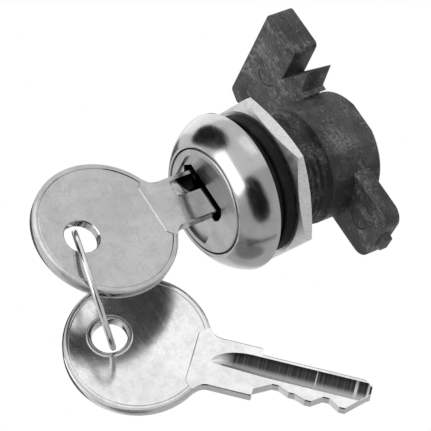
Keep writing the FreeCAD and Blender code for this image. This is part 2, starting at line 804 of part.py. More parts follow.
# Key ring: a closed wire loop through the holes of both bows
ring = doc.addObject("Part::Torus", "ring_wire_loop")
ring.Label = "key_ring"
ring.setExpression("Radius1", size.ring_radius.text)
ring.setExpression("Radius2", size.ring_wire.text)
ring.Placement = FreeCAD.Placement(
    FreeCAD.Vector(0, 0, 0), FreeCAD.Rotation(FreeCAD.Vector(0, 0, 1), FreeCAD.Vector(0.423, 0.876, -0.230)))
ring.setExpression("Placement.Base.x", size.ring_across.text)
ring.setExpression("Placement.Base.y", size.ring_along.text)
ring.setExpression("Placement.Base.z", size.ring_up.text)

doc.recompute()

NODES = [
    "cylinder_body", "bezel", "gasket", "spacer_washer", "mounting_nut", "bolt_case", "case_pin",
    "plug", "wafer_1", "wafer_2", "wafer_3", "wafer_4", "wafer_5",
    "wafer_spring_1", "wafer_spring_2", "wafer_spring_3", "wafer_spring_4", "wafer_spring_5",
    "drive_cam", "cam_screw",
    "hook_bolt", "key", "key_ring", "spare_key",
]

for item in doc.Objects:
    if "Invalid" in item.State or "Error" in item.State:
        raise RuntimeError("object " + item.Name + " is " + ", ".join(item.State))

by_label = {item.Label: item for item in doc.Objects}
for node in NODES:
    shape = by_label[node].Shape
    if shape.isNull() or not shape.isValid():
        raise RuntimeError("shape of " + node + " is not valid")
    if len(shape.Solids) != 1:
        raise RuntimeError(node + " has " + str(len(shape.Solids)) + " solids")

for node in NODES:
    by_label[node].Shape.exportStep("parts/" + node + ".step")
    print(node, by_label[node].Shape.BoundBox, round(by_label[node].Shape.Volume, 2))
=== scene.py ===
import math

import bmesh
import bpy
import numpy as np
from mathutils import Matrix, Vector


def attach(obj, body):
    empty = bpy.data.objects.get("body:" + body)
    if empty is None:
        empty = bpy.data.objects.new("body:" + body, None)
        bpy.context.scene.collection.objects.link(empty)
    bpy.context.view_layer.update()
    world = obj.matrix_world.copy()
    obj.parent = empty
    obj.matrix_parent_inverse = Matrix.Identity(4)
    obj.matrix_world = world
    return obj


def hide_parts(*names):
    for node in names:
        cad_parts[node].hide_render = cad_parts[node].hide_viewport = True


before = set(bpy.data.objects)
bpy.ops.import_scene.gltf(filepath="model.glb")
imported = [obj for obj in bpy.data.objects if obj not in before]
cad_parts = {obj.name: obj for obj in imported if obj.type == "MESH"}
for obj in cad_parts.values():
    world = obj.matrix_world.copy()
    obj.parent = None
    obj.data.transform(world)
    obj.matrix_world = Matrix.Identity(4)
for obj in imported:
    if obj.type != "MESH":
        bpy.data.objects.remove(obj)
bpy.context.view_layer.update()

bl_info = {
    "name": "Drawer lock dressing",
    "version": (1, 0, 0),
    "blender": (4, 5, 0),
    "location": "View3D > Sidebar > Drawer lock",
    "description": "Dresses the drawer lock's frame with plated, cast and rubber pieces",
    "category": "Object",
}

MM = 0.001

# Sizes of the frame that the pieces repeat, in millimetres
BORE_RADIUS = 6.46
NECK_RADIUS = 9.525
NECK_FLAT = 8.725
CASE_FRONT = 13.6
CASE_RADIUS = 10.2
SPIGOT_RADIUS = 8.18
SPIGOT_END = 16.58
FLANGE_RADIUS = 12.18
FLANGE_FRONT = -2.38
FLANGE_BACK = -0.02
NUT_HALF_FLATS = 12.7
NUT_FRONT = 4.4
NUT_BACK = 6.9
NUT_TURN = math.radians(41)
PLUG_RIM = 9.0
MOUTH_PLACE = -4.8
KEY_MIDDLE = 1.5
BOW_CENTRE = -24.55
HOLE_CENTRE = -29.25
SHANK_START = -15.5
SHOULDER = -4.55
BLADE_END = 13.95
BLADE_TOP = 4.75
BLADE_BOTTOM = -1.75
CUT_DEPTHS = (1.65, 0.9, 0.3, 1.6, 0.5)
FIRST_CUT = -1.2
CUT_PITCH = 2.8
CUT_HALF_FLAT = 0.5
RING_CENTRE = np.array([-6.345, -28.416, -4.812])
RING_NORMAL = np.array([0.423, 0.876, -0.230])
RING_RADIUS = 9.754
WIRE_RADIUS = 0.525
SPARE_NORMAL = Vector((0.956, -0.282, 0.081))
SPARE_BLADE = Vector((0.252, 0.647, -0.720))
SPARE_BOW_CENTRE = Vector((-11.70, -23.97, -14.46))

# Camera of the photograph: its axes in the row frame and its place in millimetres
CAMERA_RIGHT = Vector((0.3129, 0.7921, -0.5241))
CAMERA_DOWN = Vector((-0.5367, -0.3078, -0.7856))
CAMERA_FORWARD = Vector((-0.7836, 0.5271, 0.3288))
CAMERA_PLACE = Vector((321.35, -221.29, -137.93))
PHOTO_WIDTH = 431
FOCAL_PIXELS = 2505.1
SENSOR_WIDTH = 36.0

# Scales of the surface noises, in features a metre
CLOUDS = 150.0
BLOTCHES = 640.0
SCRATCHES = 1500.0
GRAIN = 3400.0
CAST_CLOUDS = 110.0
CAST_RUB = 260.0
CAST_GRAIN = 2300.0


class Wire:
    """One shader socket that takes part in sums, differences, products and powers."""

    def __init__(self, nodes, socket):
        self.nodes = nodes
        self.socket = socket

    def reckon(self, operation, first, second):
        return self.nodes.node("ShaderNodeMath", {"operation": operation}, {0: first, 1: second})

    def larger(self, other):
        return self.reckon("MAXIMUM", self, other)

    def size(self):
        return self.reckon("ABSOLUTE", self, 0.0)

    def __add__(self, other):
        return self.reckon("ADD", self, other)

    def __radd__(self, other):
        return self.reckon("ADD", other, self)

    def __sub__(self, other):
        return self.reckon("SUBTRACT", self, other)

    def __rsub__(self, other):
        return self.reckon("SUBTRACT", other, self)

    def __mul__(self, other):
        return self.reckon("MULTIPLY", self, other)

    def __rmul__(self, other):
        return self.reckon("MULTIPLY", other, self)

    def __pow__(self, other):
        return self.reckon("POWER", self, other)


class Nodes:
    """A node tree under construction, emptied first."""

    def __init__(self, tree):
        self.tree = tree
        self.tree.nodes.clear()

    def node(self, kind, settings=None, sockets=None, output=0):
        """Makes one node: its settings first, then its sockets' values or links. The output is a
        number or a name, a tuple of names for several, or None for a node that has none."""
        made = self.tree.nodes.new(kind)
        for key, value in (settings or {}).items():
            setattr(made, key, value)
        for key, value in (sockets or {}).items():
            if isinstance(value, Wire):
                self.tree.links.new(value.socket, made.inputs[key])
            else:
                made.inputs[key].default_value = value
        if output is None:
            return None
        if isinstance(output, tuple):
            return [Wire(self, made.outputs[key]) for key in output]
        return Wire(self, made.outputs[output])


class Finish(Nodes):
    """A node material under construction, on Object coordinates."""

    def __init__(self, name):
        self.material = bpy.data.materials.new(name)
        self.material.use_nodes = True
        super().__init__(self.material.node_tree)
        self.place = self.node("ShaderNodeTexCoord", output="Object")

    def axes(self):
        """The three coordinates, in metres."""
        return self.node("ShaderNodeSeparateXYZ", None, {0: self.place}, ("X", "Y", "Z"))

    def attribute(self, name):
        """A number that the mesh holds at each point."""
        return self.node("ShaderNodeAttribute", {"attribute_name": name}, None, "Fac")

    def noise(self, scale, detail=3.0, roughness=0.55, stretch=None):
        """Noise from 0 to 1. The scale is in features a metre; stretch squeezes it by axis."""
        place = self.place
        if stretch is not None:
            place = self.node("ShaderNodeMapping", None, {"Vector": self.place, "Scale": stretch})
        return self.node(
            "ShaderNodeTexNoise", {"noise_dimensions": "3D"},
            {"Vector": place, "Scale": scale, "Detail": detail, "Roughness": roughness})

    def noise_along(self, along, scale, detail):
        """Noise that changes only with a given number."""
        return self.node(
            "ShaderNodeTexNoise", {"noise_dimensions": "1D"}, {"W": along, "Scale": scale, "Detail": detail})

    def mask(self, value, low, high):
        """Smooth step of a value from 0 at low to 1 at high."""
        return self.node(
            "ShaderNodeMapRange", {"interpolation_type": "SMOOTHSTEP", "clamp": True},
            {"Value": value, "From Min": low, "From Max": high})

    def blend(self, factor, first, second):
        """Mix of two colours: the node's sockets 6 and 7 are its colours and output 2 its result."""
        return self.node(
            "ShaderNodeMix", {"data_type": "RGBA", "clamp_factor": True}, {0: factor, 6: first, 7: second}, 2)

    def bump(self, height, distance, strength):
        sockets = {"Height": height, "Distance": distance, "Strength": strength}
        return self.node("ShaderNodeBump", None, sockets)

    def surface(self, **sockets):
        """Ends the material in one Principled shader."""
        named = {key.replace("_", " "): value for key, value in sockets.items()}
        shader = self.node("ShaderNodeBsdfPrincipled", None, named)
        self.node("ShaderNodeOutputMaterial", None, {"Surface": shader}, None)
        return self.material


def grey(level, warmth=0.0):
    return (level * (1 + warmth), level, level * (1 - warmth), 1.0)


WHITE = grey(1.0)


def plated_face(finish, cloud, fine, level, speckle, blotched):
    """Colour of the worn plate: a level broken by clouds, fine specks and darker blotches."""
    face = finish.blend(finish.mask(cloud, 0.38, 0.66), grey(level), grey(level * 0.86, 0.004))
    specks = finish.mask(fine, 0.35, 0.70) * speckle
    face = finish.blend(specks, face, grey(level * 0.72, 0.004))
    blotches = finish.mask(finish.noise(BLOTCHES, 5.0, 0.68), 0.44, 0.64) * blotched
    return finish.blend(blotches, face, grey(level * 0.66, 0.004))


def satin_nickel(name, level, rough, grain):
    """Plated metal with fine grain, faint cloudy tarnish and light scratches."""
    finish = Finish(name)
    cloud = finish.noise(CLOUDS, 4.0, 0.6)
    scratch = finish.noise(SCRATCHES, 3.0, 0.65, (1.0, 1.0, 0.16))
    fine = finish.noise(GRAIN, 2.0, 0.5)
    colour = plated_face(finish, cloud, fine, level, grain, grain)
    roughness = finish.mask(cloud, 0.3, 0.8) * 0.06 + finish.mask(scratch, 0.45, 0.75) * 0.08 + rough
    normal = finish.bump(scratch * 0.4 + fine * 0.6, 0.000006, 0.2)
    return finish.surface(Base_Color=colour, Metallic=1.0, Roughness=roughness, Normal=normal)


def keyway_nickel(name, level=0.50):
    """The plug's plate: wiped on its face, and near black beyond the key mouth's face, by its depth: painted
    shade of the keyway, with its grease.
    """
    finish = Finish(name)
    depth = finish.axes()[1]
    wipe = finish.noise(420.0, 5.0, 0.62, (1.0, 1.0, 0.22))
    fine = finish.noise(2600.0, 2.0, 0.5)
    face = finish.blend(finish.mask(wipe, 0.38, 0.66) * 0.7, grey(level), grey(level * 0.84, 0.004))
    face = finish.blend(finish.mask(fine, 0.35, 0.70) * 0.25, face, grey(level * 0.70))
    # painted shade: the keyway drawn near black beyond the mouth's face, by its depth, with its grease
    keyway_shade = finish.mask(depth, (MOUTH_PLACE + 0.05) * MM, (MOUTH_PLACE + 0.25) * MM)
    colour = finish.blend(keyway_shade, face, grey(0.006))
    roughness = finish.mask(wipe, 0.3, 0.8) * 0.10 + keyway_shade * 0.3 + 0.30
    normal = finish.bump(fine * 0.4 + wipe * 0.6, 0.000006, 0.2)
    return finish.surface(Base_Color=colour, Metallic=1.0, Roughness=roughness, Normal=normal)


def milled_nickel(name, level, rough=0.13):
    """The blades' plate, with painted shade on the floor of the long groove, darkest in its upper part and
    crossed by cutter lines. The marks of the mesh say how much of a point is that floor, how far down the
    groove it lies, how far along the key, and how much of it is the short groove's floor, which takes near
    black painted shade and painted reflection of the dark keyway."""
    finish = Finish(name)
    milled, down, along, black = [finish.attribute(key) for key in ("milled", "down", "along", "black")]
    cloud = finish.noise(CLOUDS, 4.0, 0.6)
    fine = finish.noise(GRAIN, 2.0, 0.5)
    face = plated_face(finish, cloud, fine, level, 0.35, 0.4)
    lines = finish.noise_along(along, 2.6, 3.0)
    strong = finish.noise_along(along + 3.7, 0.9, 1.0)
    # painted shade on the long groove's floor: near black with darker and paler cutter lines, turning to the
    # plate's grey towards the groove's low edge
    floor = finish.blend(finish.mask(lines, 0.40, 0.72), grey(0.030), grey(0.075))
    floor = finish.blend(finish.mask(strong, 0.70, 0.73), floor, grey(0.45))
    floor = finish.blend(finish.mask(down, 0.45, 1.0), floor, grey(level * 0.9))
    # painted shade and painted reflection of the dark keyway: the short groove's floor drawn near black
    colour = finish.blend(black, finish.blend(milled, face, floor), grey(0.008))
    roughness = finish.mask(cloud, 0.3, 0.8) * 0.06 + milled * 0.22 + rough
    normal = finish.bump(fine * 0.4 + milled * lines * 1.5, 0.00001, 0.4)
    return finish.surface(Base_Color=colour, Metallic=1.0, Roughness=roughness, Normal=normal)


def bright_plate(name, level=0.72):
    """Bright zinc plate with a fine mottle and small pits."""
    finish = Finish(name)
    mottle = finish.noise(900.0, 4.0, 0.6)
    pits = finish.noise(3200.0, 2.0, 0.5)
    cloud = finish.noise(120.0, 3.0, 0.5)
    colour = finish.blend(finish.mask(mottle, 0.42, 0.62) * 0.5, grey(level), grey(level * 0.84, 0.004))
    colour = finish.blend(finish.mask(cloud, 0.45, 0.75) * 0.5, colour, grey(level * 0.90, 0.004))
    colour = finish.blend(finish.mask(pits, 0.48, 0.66) * 0.5, colour, grey(level * 0.62, 0.004))
    roughness = finish.mask(mottle, 0.3, 0.7) * 0.10 + 0.30
    normal = finish.bump(mottle * 0.5 + pits * 0.5, 0.000012, 0.3)
    return finish.surface(Base_Color=colour, Metallic=1.0, Roughness=roughness, Normal=normal)


def pressed_ring_shaded_half(finish, across, up, radius):
    """How much of a point is on the left half of a fine ring pressed into the bolt's front face,
    from the ring's centre and radius: 1 where the distance from the ring is under 0.07 mm. The left
    half is where the ring's wall lies in shade, and the colour drawn from it is painted shade."""
    x, y, z = finish.axes()
    from_middle = ((x - across * MM) ** 2 + (z - up * MM) ** 2) ** 0.5
    off_ring = (from_middle - radius * MM).size()
    line = 1 - finish.mask(off_ring, 0.07 * MM, 0.20 * MM)
    left_half = finish.mask(across * MM - x, 0.2 * MM, 0.6 * MM)
    front_face = finish.mask(18.3 * MM - y, 0.0, 0.1 * MM)
    return line * left_half * front_face


def dark_casting(name, level, wear, pressed_rings=()):
    """Dark cast zinc: charcoal with paler rubbed clouds, specks, dark pores and a cast grain, and painted
    shade, near black, on the shaded half of each pressed ring.
    """
    finish = Finish(name)
    cloud = finish.noise(CAST_CLOUDS, 5.0, 0.62)
    rub = finish.noise(CAST_RUB, 6.0, 0.72, (1.3, 1.0, 0.6))
    grain = finish.noise(CAST_GRAIN, 3.0, 0.6)
    base = finish.blend(finish.mask(cloud, 0.38, 0.62), grey(level * 0.7), grey(level * 2.1, 0.006))
    colour = finish.blend(finish.mask(rub, 0.46, 0.66) * wear, base, grey(0.15, 0.008))
    speck = finish.mask(rub * 0.5 + grain * 0.5, 0.52, 0.63) * wear
    colour = finish.blend(speck, colour, grey(0.26, 0.008))
    colour = finish.blend(finish.mask(1 - grain, 0.52, 0.64) * 0.6, colour, grey(level * 0.5))
    height = grain * 0.5 + rub * 0.5
    for across, up, radius in pressed_rings:
        line = pressed_ring_shaded_half(finish, across, up, radius)
        # painted shade: the pressed ring's shaded half drawn near black; the dip in height is the ring itself
        colour = finish.blend(line, colour, grey(0.004))
        height = height - line * 3.0
    roughness = 0.50 - finish.mask(rub, 0.50, 0.78) * 0.10
    normal = finish.bump(height, 0.06 * MM, 0.6)
    return finish.surface(
        Base_Color=colour, Metallic=0.0, Roughness=roughness, Specular_IOR_Level=0.35, Normal=normal)


def rubbed_edge_with_slot_shade(name, level, slot_from=None):
    """The same casting where handling has rubbed its edges paler in places, with painted shade, near black,
    along the slot, which starts at a given y in millimetres."""
    finish = Finish(name)
    patch = finish.noise(420.0, 5.0, 0.65)
    colour = finish.blend(finish.mask(patch, 0.48, 0.70), grey(level), grey(0.15, 0.008))
    if slot_from is not None:
        # painted shade in the slot's gap: the edges from the slot's start on drawn near black
        painted_slot_shade = finish.mask(finish.axes()[1], (slot_from - 0.5) * MM, slot_from * MM)
        colour = finish.blend(painted_slot_shade, colour, grey(0.004))
    return finish.surface(Base_Color=colour, Metallic=0.0, Roughness=0.42, Specular_IOR_Level=0.5)


def black_rubber(name, level):
    """Black rubber with a fine grain and a little dust."""
    finish = Finish(name)
    grain = finish.noise(2400.0, 3.0, 0.6)
    dust = finish.noise(300.0, 4.0, 0.6)
    colour = finish.blend(finish.mask(dust, 0.5, 0.8), grey(level), grey(level * 2.5))
    normal = finish.bump(grain, 0.03 * MM, 0.5)
    return finish.surface(
        Base_Color=colour, Metallic=0.0, Roughness=0.6, Specular_IOR_Level=0.12, Normal=normal)


def plain_brass(name):
    """Yellow brass, faintly clouded."""
    finish = Finish(name)
    cloud = finish.noise(300.0, 3.0, 0.6)
    colour = finish.blend(cloud, (0.72, 0.52, 0.24, 1.0), (0.55, 0.39, 0.17, 1.0))
    return finish.surface(Base_Color=colour, Metallic=1.0, Roughness=0.34)


def bright_wire(name):
    """Drawn steel wire, faintly clouded."""
    finish = Finish(name)
    cloud = finish.noise(700.0, 3.0, 0.6)
    colour = finish.blend(cloud, grey(0.74), grey(0.58))
    return finish.surface(Base_Color=colour, Metallic=1.0, Roughness=cloud * 0.1 + 0.12)


def finish_piece(piece, body, materials, sharp):
    """Links a piece and gives it its materials, its body and smooth shading up to an angle of
    sharp degrees."""
    for material in materials:
        piece.data.materials.append(material)
    piece.data.polygons.foreach_set("use_smooth", [True] * len(piece.data.polygons))
    piece.data.set_sharp_from_angle(angle=math.radians(sharp))
    bpy.context.scene.collection.objects.link(piece)
    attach(piece, body)
    return piece


def grid_object(name, points, closed_rows=True, marks=None):
    """A mesh from a grid of points in millimetres, whose columns close on themselves: neighbours
    share a face. Closed rows join the last to the first; open ones are capped at both ends. Marks
    are numbers of each point that its material reads, by name."""
    rows, columns = points.shape[:2]
    index = np.arange(rows * columns).reshape(rows, columns)
    if closed_rows:
        index = np.vstack([index, index[:1]])
    index = np.hstack([index, index[:, :1]])
    corners = [index[:-1, :-1], index[1:, :-1], index[1:, 1:], index[:-1, 1:]]
    faces = np.stack(corners, axis=-1).reshape(-1, 4).tolist()
    if not closed_rows:
        faces.append(index[0, :columns].tolist())
        faces.append(index[-1, :columns][::-1].tolist())
    mesh = bpy.data.meshes.new(name)
    mesh.from_pydata((points.reshape(-1, 3) * MM).tolist(), [], faces)
    for key, values in (marks or {}).items():
        held = mesh.attributes.new(key, "FLOAT", "POINT").data
        held.foreach_set("value", values.reshape(-1).astype(np.float32))
    shell = bmesh.new()
    shell.from_mesh(mesh)
    bmesh.ops.remove_doubles(shell, verts=shell.verts, dist=1e-7)
    bmesh.ops.dissolve_degenerate(shell, edges=shell.edges, dist=1e-8)
    bmesh.ops.recalc_face_normals(shell, faces=shell.faces)
    shell.to_mesh(mesh)
    shell.free()
    return bpy.data.objects.new(name, mesh)


def bent_run(start, stop, radius, steps):
    """Points on the arc of a given radius that turns left between two points: the chord's middle
    is moved aside by the root of radius squared less half the chord squared, and the arc is swept
    about it in equal angles."""
    start, stop = np.array(start, float), np.array(stop, float)
    chord = stop - start
    aside = np.array([-chord[1], chord[0]]) / np.linalg.norm(chord)
    centre = (start + stop) / 2 + aside * math.sqrt(radius ** 2 - np.linalg.norm(chord) ** 2 / 4)
    low = math.atan2(*(start - centre)[::-1])
    high = math.atan2(*(stop - centre)[::-1])
    if high < low:
        high += math.tau
    sweep = np.linspace(low, high, steps)
    return centre + radius * np.stack([np.cos(sweep), np.sin(sweep)], axis=1)


def soften(profile, amount):
    """Cuts every corner of a closed profile: each corner becomes two points on its sides."""
    before = np.roll(profile, 1, axis=0) - profile
    after = np.roll(profile, -1, axis=0) - profile
    before_length = np.linalg.norm(before, axis=1, keepdims=True)
    after_length = np.linalg.norm(after, axis=1, keepdims=True)
    first = profile + before / before_length * np.minimum(amount, before_length * 0.33)
    second = profile + after / after_length * np.minimum(amount, after_length * 0.33)
    return np.stack([first, second], axis=1).reshape(-1, 2)


def round_turn(segments):
    return np.linspace(0, math.tau, segments, endpoint=False)


def turned(radius, along, angle):
    """Points about the lock's axis: x = radius times the cosine of the angle, y = along, z =
    radius times its sine. The three are numbers or grids that match."""
    radius, along, angle = np.broadcast_arrays(radius, along, angle)
    return np.stack([radius * np.cos(angle), along, radius * np.sin(angle)], axis=-1)


def turned_profile(profile, segments):
    """Turns a profile of (radius, y) about the lock's axis."""
    profile = np.array(profile, float)
    return turned(profile[:, :1], profile[:, 1:], round_turn(segments)[None, :])


def rounded_copy(name, node, width, segments, edge_slot=-1):
    """A merged copy of a CAD node with its edges rounded by a live Bevel, whose faces take the
    material slot edge_slot."""
    copy = bpy.data.objects.new(name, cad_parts[node].data.copy())
    copy.data.materials.clear()
    shell = bmesh.new()
    shell.from_mesh(copy.data)
    bmesh.ops.remove_doubles(shell, verts=shell.verts, dist=2e-6)
    bmesh.ops.dissolve_limit(shell, angle_limit=math.radians(1.0), verts=shell.verts, edges=shell.edges)
    shell.to_mesh(copy.data)
    shell.free()
    bevel = copy.modifiers.new("rounded edges", "BEVEL")
    bevel.width = width * MM
    bevel.segments = segments
    bevel.limit_method = "ANGLE"
    bevel.angle_limit = math.radians(30)
    bevel.harden_normals = False
    bevel.material = edge_slot
    return copy


def length(name, description, default):
    """A property in millimetres."""
    return bpy.props.FloatProperty(name=name, description=description + " in millimetres", default=default)


class LockTrimSettings(bpy.types.PropertyGroup):
    """Sizes of the bezel, the thread and the nut."""

    dome_radius: length("Dome radius", "Radius of the bezel's dome", 9.5)
    bezel_radius: length("Bezel radius", "Outer radius of the bezel", 13.49)
    bezel_front: length("Bezel front", "Where the bezel's front lies along the lock", -5.58)
    bezel_bore: length("Bezel bore", "Radius of the hole around the plug's face", 9.17)
    bezel_seat: length("Bezel seat", "Radius of the seat on the flange", 12.22)
    thread_pitch: length("Thread pitch", "Distance between thread crests", 1.27)
    thread_depth: length("Thread depth", "Depth of the thread's grooves", 0.45)
    nut_face: length("Nut face", "Radius of the nut's flat faces", 12.5)
    nut_bore: length("Nut bore", "Radius of the nut's bore", 9.62)
    nut_countersink: length("Nut countersink", "Depth and width of the bore's chamfer", 0.35)
    chamfer_slope: bpy.props.FloatProperty(
        name="Chamfer slope", description="Fall of the nut's corners for each unit outward", default=0.34)


class LockKeySettings(bpy.types.PropertyGroup):
    """Sizes of the two keys."""

    bow_radius: length("Bow radius", "Radius of the key's round bow", 12.2)
    hole_radius: length("Hole radius", "Radius of the hole in the bow", 2.95)
    half_thickness: length("Half thickness", "Half of the key's thickness", 1.0)
    rim_line: length("Rim line", "Width of the bow's raised rim", 0.85)
    coin_depth: length("Coin depth", "How far the bow's face lies below its rim", 0.07)
    shank_half: length("Half shank", "Half height of the shank", 4.4)
    neck_fillet: length("Neck fillet", "Radius of the fillet where the shank meets the bow", 2.5)
    leaf_depth: length("Long groove's depth", "Depth of the long milled groove", 0.48)
    step_depth: length("Short groove's depth", "Depth of the short milled groove", 0.5)


class DressBezel(bpy.types.Operator):
    """Makes the bezel's domed ring."""

    bl_idname = "drawer_lock.bezel"
    bl_label = "Bezel"

    def execute(self, context):
        trim = context.scene.lock_trim
        front, rim, bore, seat = trim.bezel_front, trim.bezel_radius, trim.bezel_bore, trim.bezel_seat
        seat_front = FLANGE_FRONT - 0.04
        profile = np.vstack([
            [(bore, seat_front), (bore, front + 0.28), (bore + 0.05, front + 0.10), (bore + 0.21, front)],
            bent_run((bore + 0.45, front), (rim - 0.07, -0.75), trim.dome_radius, 40),
            [(rim, -0.5), (rim, -0.12), (rim - 0.11, -0.01), (seat, -0.01), (seat, seat_front)],
        ])
        piece = grid_object("bezel_dome", turned_profile(profile, 160))
        finish_piece(piece, "lock", [satin_nickel("satin_nickel_bezel", 0.47, 0.15, 0.04)], 40)
        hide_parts("bezel")
        return {"FINISHED"}


class DressBarrel(bpy.types.Operator):
    """Makes the flange and the threaded neck with its flat."""

    bl_idname = "drawer_lock.barrel"
    bl_label = "Barrel"

    def execute(self, context):
        trim = context.scene.lock_trim
        per_turn = 160
        angle = round_turn(per_turn)[None, :]
        along = np.linspace(0.0, CASE_FRONT, 221)[:, None]
        radius = self.neck_radius(trim, along, angle)
        points = np.concatenate([
            turned_profile([
                (BORE_RADIUS, SPIGOT_END), (BORE_RADIUS, FLANGE_FRONT),
                (FLANGE_RADIUS, FLANGE_FRONT), (FLANGE_RADIUS, FLANGE_BACK),
            ], per_turn),
            turned(radius, along, angle),
            turned_profile([(SPIGOT_RADIUS, CASE_FRONT), (SPIGOT_RADIUS, SPIGOT_END)], per_turn),
        ])
        piece = grid_object("threaded_barrel", points)
        # the barrel's level, under half the case's, is painted shade standing for the shade in the thread's
        # grooves
        finish_piece(piece, "lock", [dark_casting("dark_zinc_barrel", 0.016, 0.35)], 40)
        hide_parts("cylinder_body")
        return {"FINISHED"}

    def neck_radius(self, trim, along, angle):
        """Radius of the neck at a place and an angle. The thread's phase is the place in pitches
        less the angle in turns; its groove is a trapezium of that phase and fades out at both
        ends. The flat cuts the circle at its distance over the angle's cosine, and the last
        millimetre swells to the case as a square."""
        phase = (along / trim.thread_pitch - angle / math.tau) % 1.0
        groove = np.clip(1.15 - np.abs(phase - 0.5) * 3.2, 0.0, 1.0)
        fade = np.clip((along - 0.4) / 0.8, 0, 1) * np.clip((CASE_FRONT - 0.5 - along) / 0.6, 0, 1)
        radius = NECK_RADIUS - trim.thread_depth * groove * fade
        radius = np.minimum(radius, NECK_FLAT / np.maximum(np.cos(angle), 0.5))
        swell = np.clip(along - CASE_FRONT + 1.0, 0.0, 1.0) ** 2
        return radius + (CASE_RADIUS - 0.05 - radius) * swell


class DressRings(bpy.types.Operator):
    """Makes the gasket and the spacer washer."""

    bl_idname = "drawer_lock.rings"
    bl_label = "Gasket and spacer"

    def execute(self, context):
        bore = NECK_RADIUS + 0.075
        gasket_back = 2.3
        self.ring("rubber_gasket", "gasket", bore, 11.5, 0.0, gasket_back, 0.35, 0.008)
        self.ring("moulded_spacer", "spacer_washer", bore, 11.9, gasket_back, NUT_FRONT, 0.25, 0.012)
        return {"FINISHED"}

    def ring(self, name, node, bore, radius, start, stop, edge, level):
        corners = np.array([(bore, start), (radius, start), (radius, stop), (bore, stop)])
        profile = soften(soften(corners, edge), edge * 0.4)
        piece = grid_object(name, turned_profile(profile, 128))
        finish_piece(piece, "lock", [black_rubber("black_" + name, level)], 35)
        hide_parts(node)


class DressNut(bpy.types.Operator):
    """Makes the hexagon nut. Its radius is half its flats over the cosine of the angle from the
    nearest flat, and a cone cuts its corners on both faces."""

    bl_idname = "drawer_lock.nut"
    bl_label = "Mounting nut"

    def execute(self, context):
        trim = context.scene.lock_trim
        angle = round_turn(360)
        from_flat = (angle - NUT_TURN) % (math.pi / 3) - math.pi / 6
        hexagon = NUT_HALF_FLATS / np.cos(from_flat)
        cut = (hexagon - trim.nut_face) * trim.chamfer_slope
        sunk = trim.nut_countersink
        rows = [
            (trim.nut_bore, NUT_FRONT + sunk),
            (trim.nut_bore + sunk * 0.8, NUT_FRONT),
            (trim.nut_face, NUT_FRONT),
            (hexagon, NUT_FRONT + cut),
            (hexagon, NUT_BACK - cut),
            (trim.nut_face, NUT_BACK),
            (trim.nut_bore + sunk * 0.8, NUT_BACK),
            (trim.nut_bore, NUT_BACK - sunk),
        ]
        piece = grid_object("hexagon_nut", np.array([turned(radius, place, angle) for radius, place in rows]))
        finish_piece(piece, "lock", [bright_plate("bright_zinc_nut")], 14)
        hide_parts("mounting_nut")
        return {"FINISHED"}


class DressCastings(bpy.types.Operator):
    """Rounds the cast case and the cast bolt."""

    bl_idname = "drawer_lock.castings"
    bl_label = "Case and hook bolt"

    def execute(self, context):
        slot_front = 17.0
        case = rounded_copy("cast_case", "bolt_case", 0.28, 3, 1)
        case_metal = dark_casting("dark_zinc_case", 0.036, 0.45)
        case_edge = rubbed_edge_with_slot_shade("rubbed_zinc_case_edge_with_shade", 0.04, slot_front)
        finish_piece(case, "lock", [case_metal, case_edge], 35)
        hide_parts("bolt_case")

        hook_ring = (2.15, 16.75, 1.9)
        tongue_ring = (0.95, -13.3, 1.95)
        bolt = rounded_copy("cast_hook_bolt", "hook_bolt", 0.3, 3, 1)
        bolt_metal = dark_casting("dark_zinc_bolt", 0.045, 0.75, (hook_ring, tongue_ring))
        finish_piece(bolt, "bolt", [bolt_metal, rubbed_edge_with_slot_shade("rubbed_zinc_edge", 0.05)], 35)
        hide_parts("hook_bolt")
        return {"FINISHED"}


class DressPlug(bpy.types.Operator):
    """Makes the plug with its face's wide rounded rim and the key mouth's lead-in."""

    bl_idname = "drawer_lock.plug"
    bl_label = "Plug"
    mouth_spread: bpy.props.FloatProperty(
        name="Mouth spread", description="How much wider the key mouth is at the face", default=1.45)

    def execute(self, context):
        piece = rounded_copy("turned_plug", "plug", 0.07, 2)
        shell = bmesh.new()
        shell.from_mesh(piece.data)
        weight = shell.edges.layers.float.new("bevel_weight_edge")
        front = min(vertex.co.y for vertex in shell.verts)
        for edge in shell.edges:
            on_rim = all(
                vertex.co.y < front + 0.01 * MM
                and math.hypot(vertex.co.x, vertex.co.z) > (PLUG_RIM - 0.06) * MM
                for vertex in edge.verts)
            edge[weight] = 1.0 if on_rim else 0.0
        for corner in shell.verts:
            at_face = abs(corner.co.y - MOUTH_PLACE * MM) < 0.02 * MM
            if at_face and 1.0 * MM < abs(corner.co.x) < 2.0 * MM:
                corner.co.x *= self.mouth_spread
        shell.to_mesh(piece.data)
        shell.free()
        rim_bevel = piece.modifiers.new("rim", "BEVEL")
        rim_bevel.width = 0.75 * MM
        rim_bevel.segments = 5
        rim_bevel.limit_method = "WEIGHT"
        piece.modifiers.move(1, 0)
        finish_piece(piece, "plug", [keyway_nickel("satin_nickel_plug")], 35)
        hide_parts("plug")
        return {"FINISHED"}


